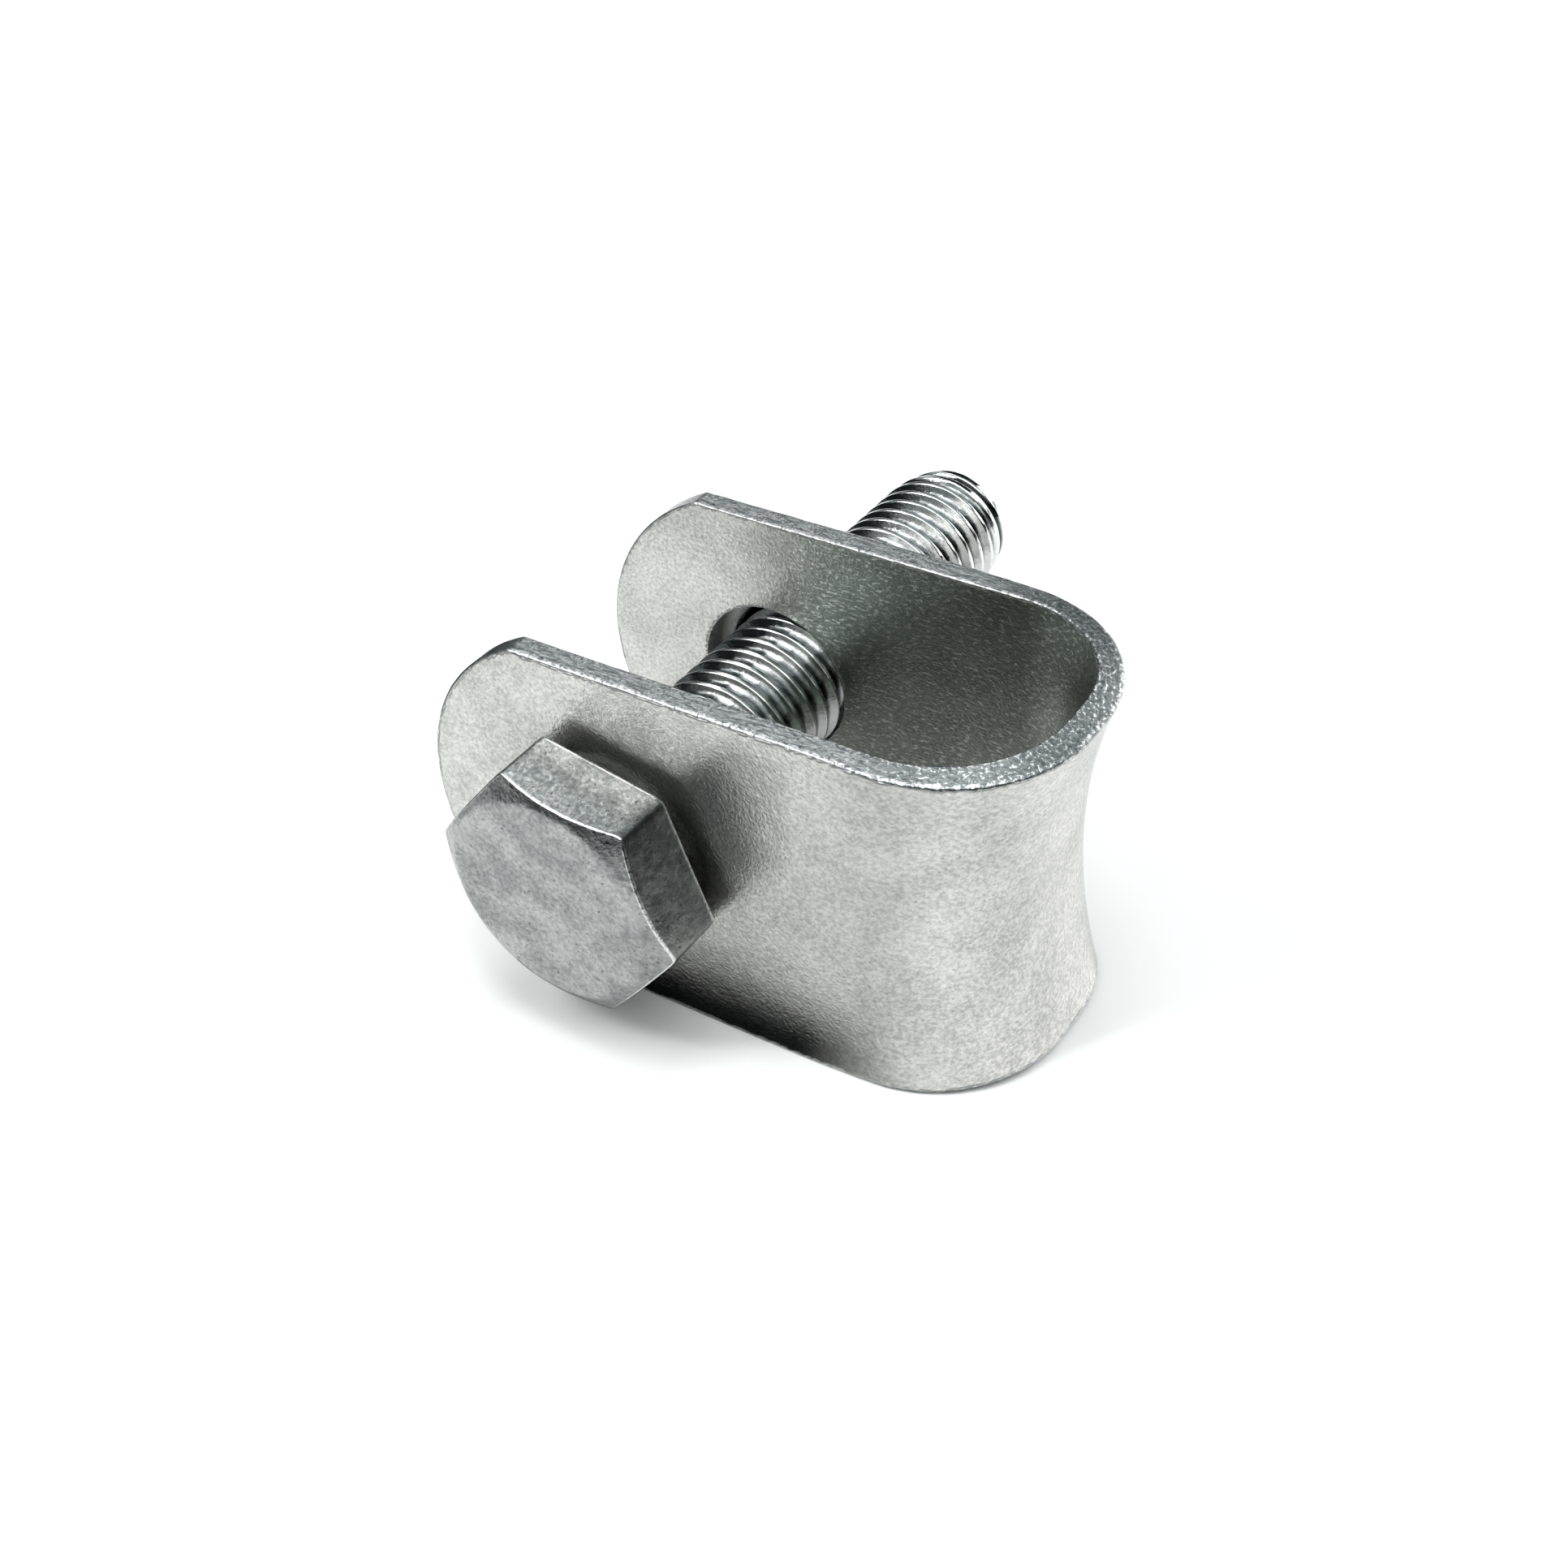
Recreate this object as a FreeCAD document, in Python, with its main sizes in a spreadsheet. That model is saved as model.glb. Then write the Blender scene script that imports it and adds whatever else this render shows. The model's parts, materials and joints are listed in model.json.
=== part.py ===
import FreeCAD, Part
import math
import os
import Sketcher

# Bolted clevis strap for an overhead line: one steel strip bent to a U whose bend is
# hollowed to a saddle, a hex bolt through both legs and the nut that keeps it there.
# Millimetres, +Z up. The origin is on the axis of the two holes, midway between the
# legs. The bend points to +X, the head of the bolt to -Y and its tip to +Y.

os.makedirs("parts", exist_ok=True)
doc = FreeCAD.newDocument("clevis")
sheet = doc.addObject("Spreadsheet::Sheet", "Sizes")

SIZES = (
    ("strip_height", 30.0, "height of the strip, from its lower to its upper edge"),
    ("plate_thickness", 2.1, "thickness of the strip"),
    ("leg_gap", 21.9, "clear space between the two legs"),
    ("hole_diameter", 13.5, "hole in each leg"),
    ("end_reach", 16.4, "from the hole to the round end of a leg"),
    ("corner_reach", 6.9, "from the hole to the two corners where the round end begins"),
    ("bend_start", 23.1, "from the hole to where the rims begin to curve"),
    ("corner_radius", 9.6, "inner radius of the rims at the two corners"),
    ("crown_radius", 38.0, "inner radius of the rims between the corners"),
    ("waist_depth", 3.0, "how far the saddle is hollowed at mid height"),
    ("lower_rim_tuck", 0.9, "how much less the lower rim flares than the upper one"),
    ("hollow_lead", 7.1, "from the start of the hollow to the start of the bend"),
    ("hollow_run", 23.4, "length of strip over which the hollow gets its full depth"),
    ("flat_lead", 3.0, "flat strip between a leg and the start of the hollow"),
    ("thread_diameter", 11.8, "outside of the thread"),
    ("tip_diameter", 10.3, "flat end of the bolt"),
    ("tip_taper_length", 3.5, "length over which the thread tapers to the tip"),
    ("bolt_length", 54.5, "from the seat under the head to the tip"),
    ("head_flats", 18.8, "across the flats of the head"),
    ("head_height", 6.3, "height of the hexagon of the head"),
    ("head_face_diameter", 17.5, "flat face left by the chamfer of the head"),
    ("head_turn", 9.7, "turn of the hexagon of the head about the bolt, in degrees"),
    ("seat_diameter", 16.6, "round seat under the head"),
    ("seat_height", 0.5, "height of that seat"),
    ("head_gap", 0.9, "gap between the seat of the head and the front leg"),
    ("chamfer_angle", 30.0, "chamfer of head and nut, in degrees"),
    ("bolt_clearance", 0.08, "gap between the bolt and a hole where it lies in it"),
    ("front_lie", 47.0, "side to which the bolt lies in the front hole, in degrees from below"),
    ("back_lie", 72.0, "side to which it lies in the back hole"),
    ("nut_flats", 18.8, "across the flats of the nut"),
    ("nut_height", 6.0, "height of the nut"),
    ("nut_turn", 25.0, "turn of the hexagon of the nut about the bolt, in degrees"),
    ("nut_face_diameter", 17.5, "flat face left by the chamfers of the nut"),
    ("nut_mouth_diameter", 13.0, "countersink at both mouths of the nut"),
    ("nut_gap", 0.3, "gap between the nut and the back leg"),
    ("nut_clearance", 0.05, "gap between the bolt and the bore of the nut"),
)

size = {}
for row, (alias, value, note) in enumerate(SIZES, start=1):
    sheet.set("A%d" % row, note)
    sheet.set("B%d" % row, str(value))
    sheet.setAlias("B%d" % row, alias)
    size[alias] = value
doc.recompute()


def vector(x, y, z):
    return FreeCAD.Vector(x, y, z)


def bind(item, **expressions):
    """Tie properties of an object to cells of the sheet."""
    for name, expression in expressions.items():
        item.setExpression(name, expression)


# Saddle of the strip

def rim_station(travel):
    """Point of the inner rim and its outward direction, in plan, at a distance along the
    strip from the start of the bend. The path runs from the front leg to the crown."""
    half_gap = size["leg_gap"] / 2
    corner = min(size["corner_radius"], CORNER_LIMIT * half_gap)
    spread = half_gap - corner
    crown_turn = math.asin(spread / (size["crown_radius"] - corner))
    corner_length = corner * (math.pi / 2 - crown_turn)
    if travel <= 0:
        return size["bend_start"] + travel, -half_gap, 0.0, -1.0
    if travel <= corner_length:
        angle = travel / corner - math.pi / 2
        centre_x, centre_y, radius = size["bend_start"], -spread, corner
    else:
        angle = (travel - corner_length) / size["crown_radius"] - crown_turn
        centre_x = size["bend_start"] - (size["crown_radius"] - corner) * math.cos(crown_turn)
        centre_y, radius = 0.0, size["crown_radius"]
    out_x, out_y = math.cos(angle), math.sin(angle)
    return centre_x + radius * out_x, centre_y + radius * out_y, out_x, out_y


def half_path_length():
    """Length of the inner rim from the start of the bend to the middle of the crown."""
    half_gap = size["leg_gap"] / 2
    corner = min(size["corner_radius"], CORNER_LIMIT * half_gap)
    crown_turn = math.asin((half_gap - corner) / (size["crown_radius"] - corner))
    return corner * (math.pi / 2 - crown_turn) + size["crown_radius"] * crown_turn


def hollow_share(travel):
    """Share of the full hollow, rising smoothly from 0 where it starts to 1 at the crown."""
    share = (travel + size["hollow_lead"]) / size["hollow_run"]
    share = max(0.0, min(1.0, share))
    return share * share * (3 - 2 * share)


def section_wire(travel, side):
    """Section of the strip: a rectangle where it is flat, and in the hollow two concentric
    arcs joined by square edges. Side is 1 for the half next to the front leg and -1 for
    its mirror image."""
    x, y, out_x, out_y = rim_station(travel)
    share = hollow_share(travel)
    half = size["strip_height"] / 2
    thickness = size["plate_thickness"]

    def place(outward, height):
        return vector(x + out_x * outward, side * (y + out_y * outward), height)

    inner_high = place(0, half)
    if share == 0:
        low, high = -half, half
        corners = [place(0, low), inner_high, place(thickness, high), place(thickness, low)]
        return Part.makePolygon(corners + [corners[0]])
    inner_low = place(-size["lower_rim_tuck"] * share, -half)
    inner_waist = place(-size["waist_depth"] * share, 0)
    inner = Part.Arc(inner_low, inner_waist, inner_high).toShape()
    centre = inner.Curve.Center

    def outer_side(point):
        towards_centre = (centre - point).normalize()
        return point + towards_centre * thickness

    outer_low = outer_side(inner_low)
    outer_high = outer_side(inner_high)
    outer = Part.Arc(outer_high, outer_side(inner_waist), outer_low).toShape()
    upper_edge = Part.LineSegment(inner_high, outer_high).toShape()
    lower_edge = Part.LineSegment(outer_low, inner_low).toShape()
    return Part.Wire([inner, upper_edge, outer, lower_edge])


CORNER_LIMIT = 0.95
LEAD_SECTIONS = 3
BEND_SECTIONS = 9

flat_start = -size["hollow_lead"] - size["flat_lead"]
half_length = half_path_length()
travels = [flat_start, flat_start + size["flat_lead"] / 2]
travels += [-size["hollow_lead"] * (1 - step / LEAD_SECTIONS) for step in range(LEAD_SECTIONS)]
travels += [half_length * step / BEND_SECTIONS for step in range(BEND_SECTIONS + 1)]
sections = [section_wire(travel, 1) for travel in travels]
sections += [section_wire(travel, -1) for travel in reversed(travels[:-1])]

saddle = doc.addObject("Part::Feature", "saddle")
saddle.Shape = Part.makeLoft(sections, True, False)

# Strap: the saddle with its two legs and their holes

strap = doc.addObject("PartDesign::Body", "strap")
strap.Label = "clevis_strap"
strap.BaseFeature = saddle
doc.recompute()


def origin_plane(body, role):
    for feature in body.Origin.OriginFeatures:
        if feature.Role == role:
            return feature
    raise RuntimeError("no plane " + role)


def upright_sketch(name):
    """Sketch on the plane midway between the legs: its x is X and its y is Z."""
    sketch = strap.newObject("Sketcher::SketchObject", name)
    sketch.AttachmentSupport = [(origin_plane(strap, "XZ_Plane"), "")]
    sketch.MapMode = "FlatFace"
    return sketch


def dimension(sketch, constraint, expression):
    """Add a dimension and tie it to the sheet."""
    index = sketch.addConstraint(constraint)
    sketch.setExpression("Constraints[%d]" % index, expression)


# The round end of a leg is one arc through its two corners and its furthest point
END_RISE = "(Sizes.end_reach - Sizes.corner_reach)"
END_RADIUS = "((Sizes.strip_height / 2)^2 + " + END_RISE + "^2) / (2 * " + END_RISE + ")"

half_height = size["strip_height"] / 2
joint_x = size["bend_start"] + flat_start
corner_x = -size["corner_reach"]
end_rise = size["end_reach"] - size["corner_reach"]
end_radius = (half_height ** 2 + end_rise ** 2) / (2 * end_rise)
end_centre = end_radius - size["end_reach"]
end_angle = math.atan2(half_height, corner_x - end_centre)


def leg_sketch(name, inner_face):
    """Outline of a leg, drawn on its inner face."""
    sketch = upright_sketch(name)
    end_circle = Part.Circle(vector(end_centre, 0, 0), vector(0, 0, 1), end_radius)
    sketch.addGeometry([
        Part.LineSegment(vector(joint_x, half_height, 0), vector(corner_x, half_height, 0)),
        Part.ArcOfCircle(end_circle, end_angle, 2 * math.pi - end_angle),
        Part.LineSegment(vector(corner_x, -half_height, 0), vector(joint_x, -half_height, 0)),
        Part.LineSegment(vector(joint_x, -half_height, 0), vector(joint_x, half_height, 0)),
    ], False)
    sketch.addConstraint([
        Sketcher.Constraint("Coincident", 0, 2, 1, 1),
        Sketcher.Constraint("Coincident", 1, 2, 2, 1),
        Sketcher.Constraint("Coincident", 2, 2, 3, 1),
        Sketcher.Constraint("Coincident", 3, 2, 0, 1),
        Sketcher.Constraint("Horizontal", 0),
        Sketcher.Constraint("Horizontal", 2),
        Sketcher.Constraint("Vertical", 3),
        Sketcher.Constraint("PointOnObject", 1, 3, -1),
    ])
    dimension(sketch, Sketcher.Constraint("Radius", 1, end_radius), END_RADIUS)
    dimension(sketch, Sketcher.Constraint("DistanceX", -1, 1, 1, 3, end_centre),
              END_RADIUS + " - Sizes.end_reach")
    dimension(sketch, Sketcher.Constraint("DistanceY", 3, 1, 3, 2, size["strip_height"]),
              "Sizes.strip_height")
    dimension(sketch, Sketcher.Constraint("DistanceX", -1, 1, 3, 1, joint_x),
              "Sizes.bend_start - Sizes.hollow_lead - Sizes.flat_lead")
    bind(sketch, **{"AttachmentOffset.Base.z": inner_face})
    return sketch


for name, inner_face, towards_back in (("front_leg", "Sizes.leg_gap / 2", False),
                                       ("back_leg", "-Sizes.leg_gap / 2", True)):
    leg = strap.newObject("PartDesign::Pad", name)
    leg.Profile = leg_sketch(name + "_outline", inner_face)
    leg.Reversed = towards_back
    bind(leg, Length="Sizes.plate_thickness")
    doc.recompute()

hole_outline = upright_sketch("hole_outline")
hole_outline.addGeometry(
    Part.Circle(vector(0, 0, 0), vector(0, 0, 1), size["hole_diameter"] / 2), False)
hole_outline.addConstraint(Sketcher.Constraint("Coincident", 0, 3, -1, 1))
dimension(hole_outline, Sketcher.Constraint("Diameter", 0, size["hole_diameter"]),
          "Sizes.hole_diameter")
holes = strap.newObject("PartDesign::Pocket", "holes")
holes.Profile = hole_outline
holes.Midplane = True
bind(holes, Length="2 * (Sizes.leg_gap + 2 * Sizes.plate_thickness)")
strap.Tip = holes
doc.recompute()

# Bolt, built along its own Z: the origin is on the seat under the head, the head below it
# and the thread, as a plain cylinder of its outside diameter, above it

CIRCUMRADIUS = "Sizes.%s / (2 * cos(30 deg))"
TURNED = "placement(vector(0; 0; %s); rotation(vector(0; 0; 1); Sizes.%s * 1 deg))"
CHAMFER_REACH = "Sizes.%s / 2 + Sizes.%s / tan(Sizes.chamfer_angle * 1 deg)"


def hexagon(name, flats, height, turn, base):
    """Hexagonal prism, standing on the height given by base and turned about its axis."""
    prism = doc.addObject("Part::Prism", name)
    prism.Polygon = 6
    bind(prism, Circumradius=CIRCUMRADIUS % flats, Height="Sizes." + height,
         Placement=TURNED % (base, turn))
    return prism


def chamfer_cone(name, face, height):
    """Cone whose small end is the face that the chamfer leaves, at its own origin."""
    cone = doc.addObject("Part::Cone", name)
    bind(cone, Radius1="Sizes.%s / 2" % face, Radius2=CHAMFER_REACH % (face, height),
         Height="Sizes." + height)
    return cone


def upside_down(item):
    item.Placement = FreeCAD.Placement(vector(0, 0, 0), FreeCAD.Rotation(vector(1, 0, 0), 180))


HEAD_FACE = "-(Sizes.seat_height + Sizes.head_height)"
head_prism = hexagon("head_prism", "head_flats", "head_height", "head_turn", HEAD_FACE)
head_cone = chamfer_cone("head_cone", "head_face_diameter", "head_height")
bind(head_cone, **{"Placement.Base.z": HEAD_FACE})
head = doc.addObject("Part::Common", "head")
head.Base = head_prism
head.Tool = head_cone

seat = doc.addObject("Part::Cylinder", "seat")
bind(seat, Radius="Sizes.seat_diameter / 2", Height="Sizes.seat_height")
bind(seat, **{"Placement.Base.z": "-Sizes.seat_height"})

shank = doc.addObject("Part::Cylinder", "shank")
bind(shank, Radius="Sizes.thread_diameter / 2",
     Height="Sizes.bolt_length - Sizes.tip_taper_length")
tip = doc.addObject("Part::Cone", "tip")
bind(tip, Radius1="Sizes.thread_diameter / 2", Radius2="Sizes.tip_diameter / 2",
     Height="Sizes.tip_taper_length")
bind(tip, **{"Placement.Base.z": "Sizes.bolt_length - Sizes.tip_taper_length"})

bolt = doc.addObject("Part::MultiFuse", "bolt")
bolt.Label = "hex_bolt"
bolt.Shapes = [head, seat, shank, tip]
bolt.Refine = True

# Nut, built along its own Z with its seat at the origin

nut_prism = hexagon("nut_prism", "nut_flats", "nut_height", "nut_turn", "0")
seat_cone = chamfer_cone("seat_cone", "nut_face_diameter", "nut_height")
face_cone = chamfer_cone("face_cone", "nut_face_diameter", "nut_height")
upside_down(face_cone)
bind(face_cone, **{"Placement.Base.z": "Sizes.nut_height"})
nut_blank = doc.addObject("Part::MultiCommon", "nut_blank")
nut_blank.Shapes = [nut_prism, seat_cone, face_cone]

bore = doc.addObject("Part::Cylinder", "bore")
bind(bore, Radius="Sizes.thread_diameter / 2 + Sizes.nut_clearance", Height="Sizes.nut_height")
seat_mouth = doc.addObject("Part::Cone", "seat_mouth")
face_mouth = doc.addObject("Part::Cone", "face_mouth")
for mouth in (seat_mouth, face_mouth):
    mouth.Radius2 = 0
    bind(mouth, Radius1="Sizes.nut_mouth_diameter / 2", Height="Sizes.nut_mouth_diameter / 2")
upside_down(face_mouth)
bind(face_mouth, **{"Placement.Base.z": "Sizes.nut_height"})
nut_void = doc.addObject("Part::MultiFuse", "nut_void")
nut_void.Shapes = [bore, seat_mouth, face_mouth]

nut = doc.addObject("Part::Cut", "nut")
nut.Label = "hex_nut"
nut.Base = nut_blank
nut.Tool = nut_void

# Places of bolt and nut. The bolt lies loose in the two holes and so is tilted a little:
# its axis passes each leg at mid thickness, to the side on which it lies there. Each point
# of the axis is given by its share of the way from the front leg (-0.5) to the back (0.5).

PLAY = "((Sizes.hole_diameter - Sizes.thread_diameter) / 2 - Sizes.bolt_clearance)"
FRONT_X = PLAY + " * sin(Sizes.front_lie * 1 deg)"
FRONT_Z = "-" + PLAY + " * cos(Sizes.front_lie * 1 deg)"
BACK_X = PLAY + " * sin(Sizes.back_lie * 1 deg)"
BACK_Z = "-" + PLAY + " * cos(Sizes.back_lie * 1 deg)"
LEAN = "(" + BACK_X + " - " + FRONT_X + ")"
RISE = "(" + BACK_Z + " - (" + FRONT_Z + "))"
SPAN = "(Sizes.leg_gap + Sizes.plate_thickness)"
ON_AXIS = ("placement(vector((%s + %s) / 2 + %s * {share}; %s * {share}; (%s + %s) / 2 + %s * {share});"
           " rotation(vector(0; 0; 1); vector(%s; %s; %s)))"
           % (FRONT_X, BACK_X, LEAN, SPAN, FRONT_Z, BACK_Z, RISE, LEAN, SPAN, RISE))
OUTSIDE = "(Sizes.leg_gap / 2 + Sizes.plate_thickness + Sizes.%s) / " + SPAN

bind(bolt, Placement=ON_AXIS.format(share="(-" + OUTSIDE % "head_gap" + ")"))
bind(nut, Placement=ON_AXIS.format(share="(" + OUTSIDE % "nut_gap" + ")"))
doc.recompute()

for item in doc.Objects:
    if "Invalid" in item.State or "Error" in item.State:
        raise RuntimeError("failed to build " + item.Label)
for item in (strap, bolt, nut):
    if item.Shape.isNull() or not item.Shape.isValid() or len(item.Shape.Solids) != 1:
        raise RuntimeError("no sound solid in " + item.Label)
    item.Shape.exportStep("parts/%s.step" % item.Label)
    print(item.Label, item.Shape.BoundBox, round(item.Shape.Volume, 1))
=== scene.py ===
"""Bolted clevis of a line suspension clamp: its sheet-metal strap, bolt, nut and studio.

The strap is drawn as a bent sheet, the bolt and nut with their screw thread, all in zinc
plate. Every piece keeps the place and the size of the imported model."""
import json
import math

import bmesh
import bpy
import numpy as np
from mathutils import Matrix, Vector, noise


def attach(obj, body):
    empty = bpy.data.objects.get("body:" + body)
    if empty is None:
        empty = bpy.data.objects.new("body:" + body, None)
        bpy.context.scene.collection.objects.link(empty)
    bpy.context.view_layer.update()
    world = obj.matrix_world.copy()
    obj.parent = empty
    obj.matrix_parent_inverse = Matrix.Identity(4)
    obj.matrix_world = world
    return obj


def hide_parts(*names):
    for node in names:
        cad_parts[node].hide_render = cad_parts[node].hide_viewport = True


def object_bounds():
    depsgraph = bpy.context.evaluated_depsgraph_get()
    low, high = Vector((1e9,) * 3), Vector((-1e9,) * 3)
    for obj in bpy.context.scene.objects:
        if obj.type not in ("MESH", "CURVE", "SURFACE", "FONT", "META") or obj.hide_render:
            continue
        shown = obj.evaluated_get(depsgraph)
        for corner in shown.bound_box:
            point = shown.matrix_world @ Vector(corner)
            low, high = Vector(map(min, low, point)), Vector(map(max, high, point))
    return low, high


bl_info = {
    "name": "Bolted clevis",
    "version": (1, 0, 0),
    "blender": (4, 5, 0),
    "location": "3D View > Sidebar > Clevis",
    "description": "Zinc-plated clevis strap with its bolt and nut, in a small studio",
    "category": "Add Mesh",
}

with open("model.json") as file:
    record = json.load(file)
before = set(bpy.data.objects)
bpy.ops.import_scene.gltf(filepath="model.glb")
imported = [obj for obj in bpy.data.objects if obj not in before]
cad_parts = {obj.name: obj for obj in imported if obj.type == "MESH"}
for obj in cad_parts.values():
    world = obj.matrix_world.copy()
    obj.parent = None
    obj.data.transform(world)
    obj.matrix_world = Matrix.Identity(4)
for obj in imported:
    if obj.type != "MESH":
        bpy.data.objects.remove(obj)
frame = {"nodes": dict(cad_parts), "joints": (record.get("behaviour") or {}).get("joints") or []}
CAD_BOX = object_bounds()
MM = 0.001

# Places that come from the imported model

BOLT_JOINT = next(joint for joint in frame["joints"] if joint["type"] == "hinge")
BOLT_AXIS = -Vector(BOLT_JOINT["axis"]).normalized()
BOLT_MIDDLE = Vector(BOLT_JOINT["pos_m"])
FLOOR_LEVEL = CAD_BOX[0][2]


def reach_along_bolt(node):
    """Lowest and highest place of a node along the axis of the bolt."""
    vertices = frame["nodes"][node].data.vertices
    places = [(vertex.co - BOLT_MIDDLE).dot(BOLT_AXIS) for vertex in vertices]
    return min(places), max(places)


BOLT_REACH = reach_along_bolt("hex_bolt")
NUT_REACH = reach_along_bolt("hex_nut")


# Settings

def length(name, description, default):
    """Setting of a length, with its default in millimetres."""
    return bpy.props.FloatProperty(name=name, description=description, default=default * MM,
                                   unit="LENGTH", precision=5)


def turn(name, description, degrees):
    """Setting of an angle, with its default in degrees."""
    return bpy.props.FloatProperty(name=name, description=description,
                                   default=math.radians(degrees), subtype="ANGLE")


def paint(name, description, default):
    """Setting of a colour."""
    return bpy.props.FloatVectorProperty(name=name, description=description, default=default,
                                         size=3, subtype="COLOR", min=0.0, max=1.0)


def number(name, description, default):
    """Setting of a plain number."""
    return bpy.props.FloatProperty(name=name, description=description, default=default)


class StrapSizes(bpy.types.PropertyGroup):
    height: length("Height", "Height of the strip", 30.0)
    thickness: length("Thickness", "Thickness of the strip", 2.1)
    leg_gap: length("Gap", "Clear space between the legs", 21.9)
    hole_diameter: length("Hole", "Hole in each leg", 13.5)
    end_reach: length("Round end", "From the hole to the round end of a leg", 16.4)
    corner_reach: length("Corners", "From the hole to the corners of the round end", 6.9)
    bend_start: length("Bend start", "From the hole to where the rims curve", 23.1)
    corner_radius: length("Corner radius", "Inner radius of the rims at a corner", 9.6)
    crown_radius: length("Crown radius", "Inner radius of the rims at the crown", 38.0)
    waist_depth: length("Waist", "Depth of the saddle at mid height", 3.0)
    lower_rim_tuck: length("Tuck", "How much less the lower rim flares", 0.9)
    hollow_lead: length("Hollow lead", "From the start of the hollow to the bend", 7.1)
    hollow_run: length("Hollow run", "Strip over which the hollow deepens", 23.4)
    flat_lead: length("Flat lead", "Flat strip before the hollow", 3.0)
    rolled_arris: length("Rolled arris", "Rounding of the outer edges", 0.26)
    burred_arris: length("Burred arris", "Rounding of the inner edges", 0.14)


class BoltSizes(bpy.types.PropertyGroup):
    thread_diameter: length("Thread", "Outside of the thread", 11.8)
    pitch: length("Pitch", "Pitch of the thread", 1.75)
    thread_depth: length("Thread depth", "Depth of the thread", 0.98)
    crest_width: length("Crest", "Flat width of a crest", 0.30)
    tip_diameter: length("Tip", "Flat end of the bolt", 10.3)
    tip_taper: length("Tip taper", "Length of the taper to the tip", 3.5)
    plain_length: length("Plain shank", "Shank under the head without thread", 1.6)
    head_flats: length("Flats", "Across the flats of the head", 18.8)
    head_height: length("Head height", "Height of the hexagon", 6.3)
    face_diameter: length("Face", "Flat face inside the chamfer", 17.5)
    seat_diameter: length("Seat", "Round seat under the head", 16.6)
    seat_height: length("Seat height", "Height of that seat", 0.5)
    head_turn: turn("Head turn", "Turn of the hexagon about the bolt", 9.7)
    chamfer: turn("Chamfer", "Chamfer of head and nut", 30.0)


class NutSizes(bpy.types.PropertyGroup):
    flats: length("Flats", "Across the flats", 18.8)
    face_diameter: length("Face", "Flat face inside the chamfers", 17.5)
    mouth_diameter: length("Mouth", "Countersink at both mouths", 13.0)
    clearance: length("Clearance", "Gap between the threads of bolt and nut", 0.06)
    turned: turn("Turn", "Turn of the hexagon about the bolt", 25.0)


class Finish(bpy.types.PropertyGroup):
    sheet: paint("Sheet", "Plated face of the strap", (0.66, 0.655, 0.63))
    sheet_dull: paint("Dull sheet", "Duller clouds on the strap", (0.34, 0.345, 0.335))
    # Painted shade: a darker tint laid on the inner face inside the bend
    painted_shade_in_bend: paint("Inside of the bend", "Tint of the plate inside the bend", (0.62, 0.68, 0.64))
    sheared: paint("Sheared edge", "Cut edge of the strap", (0.56, 0.57, 0.57))
    sheared_dull: paint("Dull edge", "Grooves along the cut", (0.25, 0.27, 0.275))
    # Also the colour of painted glints on the edge where the strip is bent
    rubbed_and_painted_glint: paint("Rubbed", "Bright metal of worn arrises", (0.82, 0.82, 0.81))
    forged: paint("Forged head", "Head of the bolt and the nut", (0.43, 0.435, 0.43))
    forged_dull: paint("Dull head", "Duller clouds on the head", (0.17, 0.185, 0.185))
    thread: paint("Thread", "Rolled thread", (0.76, 0.77, 0.77))
    # Also painted shade in the thread's grooves and where the head and the nut meet the strap
    soot_and_painted_shade: paint("Dark", "Dark grain in pits and grooves", (0.05, 0.062, 0.062))


class Studio(bpy.types.PropertyGroup):
    azimuth: turn("Azimuth", "Camera to the right of the front", 34.933)
    elevation: turn("Elevation", "Camera above the horizon", 37.882)
    roll: turn("Roll", "Roll of the camera", -3.561)
    distance: length("Distance", "From the camera to its target", 162.63)
    lens: number("Lens", "Focal length for a 36 mm sensor, in millimetres", 47.304)
    target: bpy.props.FloatVectorProperty(
        name="Target", description="Point that the camera looks at", size=3,
        default=(7.843 * MM, 0.15 * MM, -0.882 * MM), subtype="TRANSLATION", unit="LENGTH")
    floor: paint("Floor", "Paper that the part stands on", (0.93, 0.93, 0.925))
    fibres: paint("Fibres", "Duller fibres of that paper", (0.8, 0.8, 0.8))
    horizon: paint("Horizon", "Light of the room near the horizon", (0.02, 0.026, 0.027))
    band: paint("Band", "Light of the room in a band above the horizon", (0.87, 1.0, 1.0))
    overhead: paint("Overhead", "Light of the room overhead", (0.21, 0.26, 0.26))
    brightness: number("Brightness", "Brightness of the room", 0.45)
    felt: paint("Felt", "Dark walls and the dark card overhead", (0.11, 0.125, 0.125))
    shade: paint("Shade", "Cards on the floor", (0.01, 0.012, 0.012))
    wall_radius: length("Wall radius", "Distance of the low dark walls", 75.0)
    wall_top: length("Wall top", "Top of the low dark walls", 10.0)


# Mesh tools

WELD_GAP = 1e-7
ROUND_STEPS = 4
# Rows over a rounded corner, and how many radii from it the first and last of them lie
CORNER_ROWS = ROUND_STEPS + 3
SUPPORT = 1.5
RIPPLE_SHIFT = Vector((13.7, 7.1, 3.3))


def ramp_up(share):
    """Smooth step from 0 to 1."""
    share = np.clip(share, 0.0, 1.0)
    return share * share * (3.0 - 2.0 * share)


def soft_min(first, second, softness):
    """Smaller of two values, with the corner between them rounded."""
    gap = np.maximum(softness - np.abs(first - second), 0.0) / softness
    return np.minimum(first, second) - gap * gap * softness / 4.0


def crowded(count, high=1.0, crowding=0.75):
    """Places from 0 to high that lie closer together near both ends."""
    even = np.linspace(-1.0, 1.0, count)
    eased = (1.0 - crowding) * even + crowding * np.sin(even * math.pi / 2.0)
    return high * (eased + 1.0) / 2.0


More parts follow.
